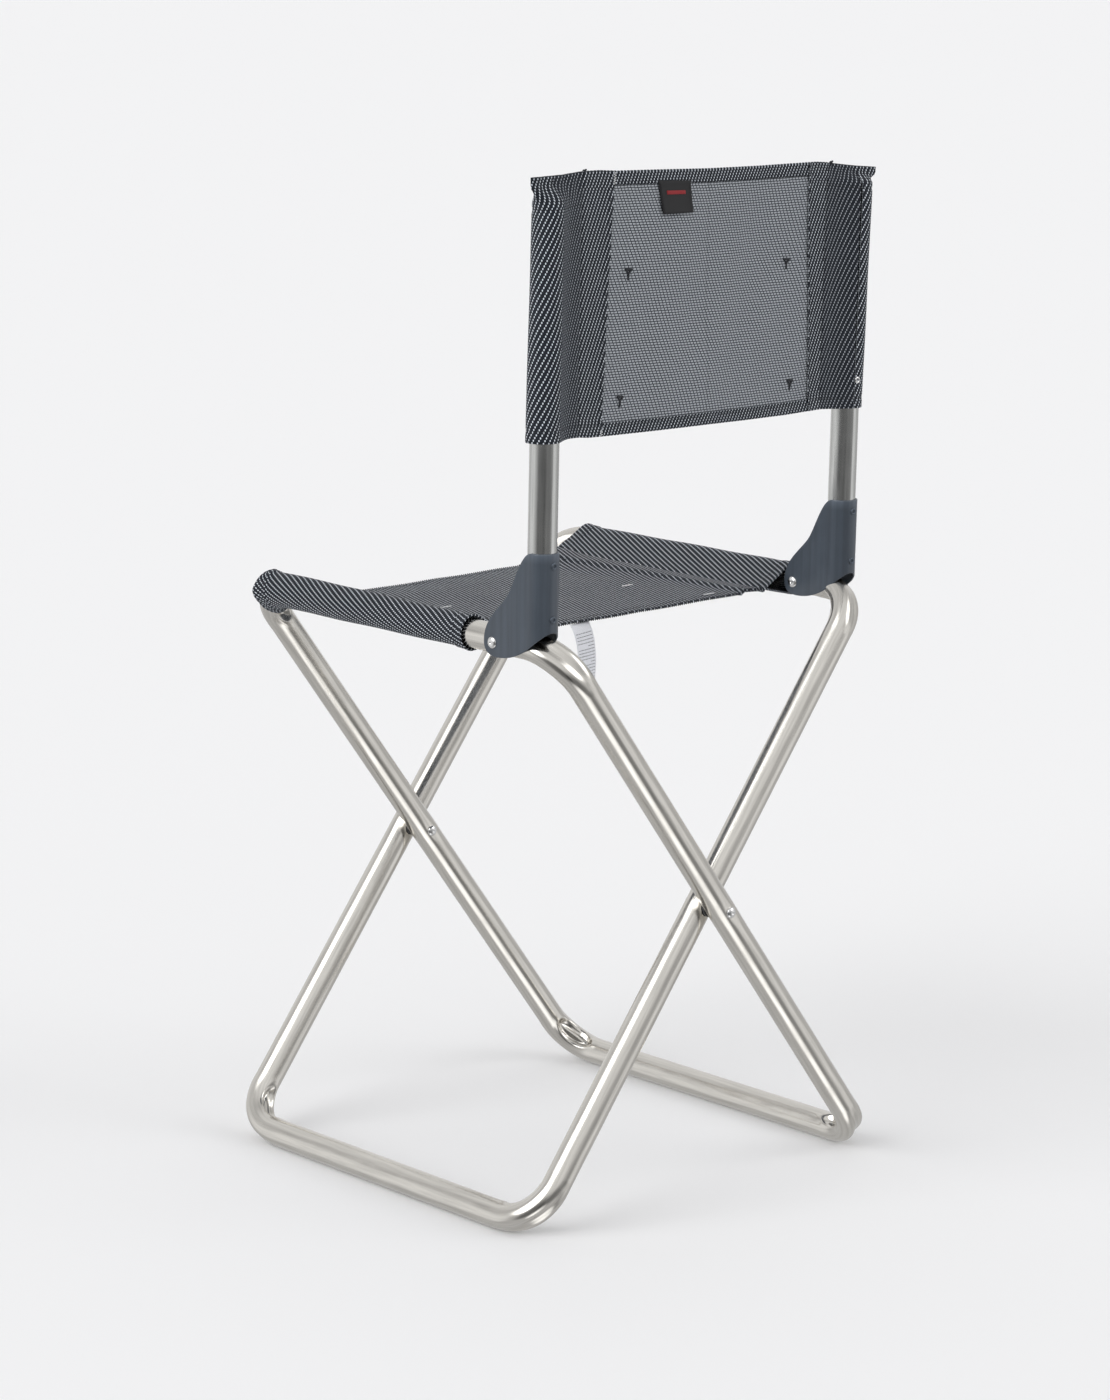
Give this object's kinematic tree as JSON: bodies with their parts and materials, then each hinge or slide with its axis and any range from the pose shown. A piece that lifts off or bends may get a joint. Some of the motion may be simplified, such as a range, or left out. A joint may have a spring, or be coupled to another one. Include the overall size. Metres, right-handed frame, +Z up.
{
  "type": "folding camp chair",
  "caption": "Compact folding camp chair: crossed looped tube frames, fabric seat sling, folding posts and fabric backrest.",
  "frame": {"origin": "on the floor, midway between the two crossed frames", "axes": "+Z up, -Y towards the sitter's front, +X towards the sitter's left"},
  "size_m": [0.398, 0.3928, 0.8048],
  "materials": {
    "frame_tube": "satin bare aluminium tube",
    "joiner": "mill",
    "rivet": "polished",
    "small_rivet": "satin",
    "spacer": "matte",
    "bracket": "satin slate grey moulded plastic",
    "plug": "matte",
    "sling_fabric": "coated yarn twill, dark blue-grey with light dashes",
    "back_fabric": "coated yarn mesh, dark face and lighter grey reverse",
    "label": "white woven ribbon",
    "tag": "black woven tag"
  },
  "bodies": {
    "right_frame": {"right_frame_tube": "frame_tube", "right_frame_joiner": "joiner", "front_pivot_rivet": "rivet", "rear_pivot_rivet": "rivet", "front_pivot_spacer": "spacer", "rear_pivot_spacer": "spacer", "right_hinge_rivet": "rivet", "seat_right_sleeve": "sling_fabric", "seat_panel": "sling_fabric"},
    "left_frame": {"left_frame_tube": "frame_tube", "left_frame_joiner": "joiner", "left_hinge_rivet": "rivet", "seat_left_sleeve": "sling_fabric", "care_label": "label"},
    "left_backrest": {"left_bracket": "bracket", "left_post": "frame_tube", "left_post_rivets": "small_rivet", "left_post_plug": "plug", "back_left_sleeve": "sling_fabric", "left_sleeve_rivet": "small_rivet", "back_panel": "back_fabric", "back_tag": "tag"},
    "right_backrest": {"right_bracket": "bracket", "right_post": "frame_tube", "right_post_rivets": "small_rivet", "right_post_plug": "plug", "back_right_sleeve": "sling_fabric", "right_sleeve_rivet": "small_rivet"}
  },
  "joints": [
    {"name": "frame_fold", "type": "hinge", "parent": "right_frame", "child": "left_frame", "pos_m": [0, 0, 0.23458], "axis": [0, -1, 0], "range_deg": [0, 59], "deforming": ["seat_panel", "care_label", "back_panel", "back_tag"]},
    {"name": "left_backrest_fold", "type": "hinge", "parent": "left_frame", "child": "left_backrest", "pos_m": [0.1775, 0.124, 0.462], "axis": [1, 0, 0], "range_deg": [0, 90]},
    {"name": "right_backrest_fold", "type": "hinge", "parent": "right_frame", "child": "right_backrest", "pos_m": [-0.1775, 0.1006, 0.462], "axis": [1, 0, 0], "range_deg": [0, 90]}
  ],
  "couplings": [
    {"joint": "left_backrest_fold", "follows": "frame_fold", "ratio": 1.5237},
    {"joint": "right_backrest_fold", "follows": "frame_fold", "ratio": 1.5237}
  ]
}
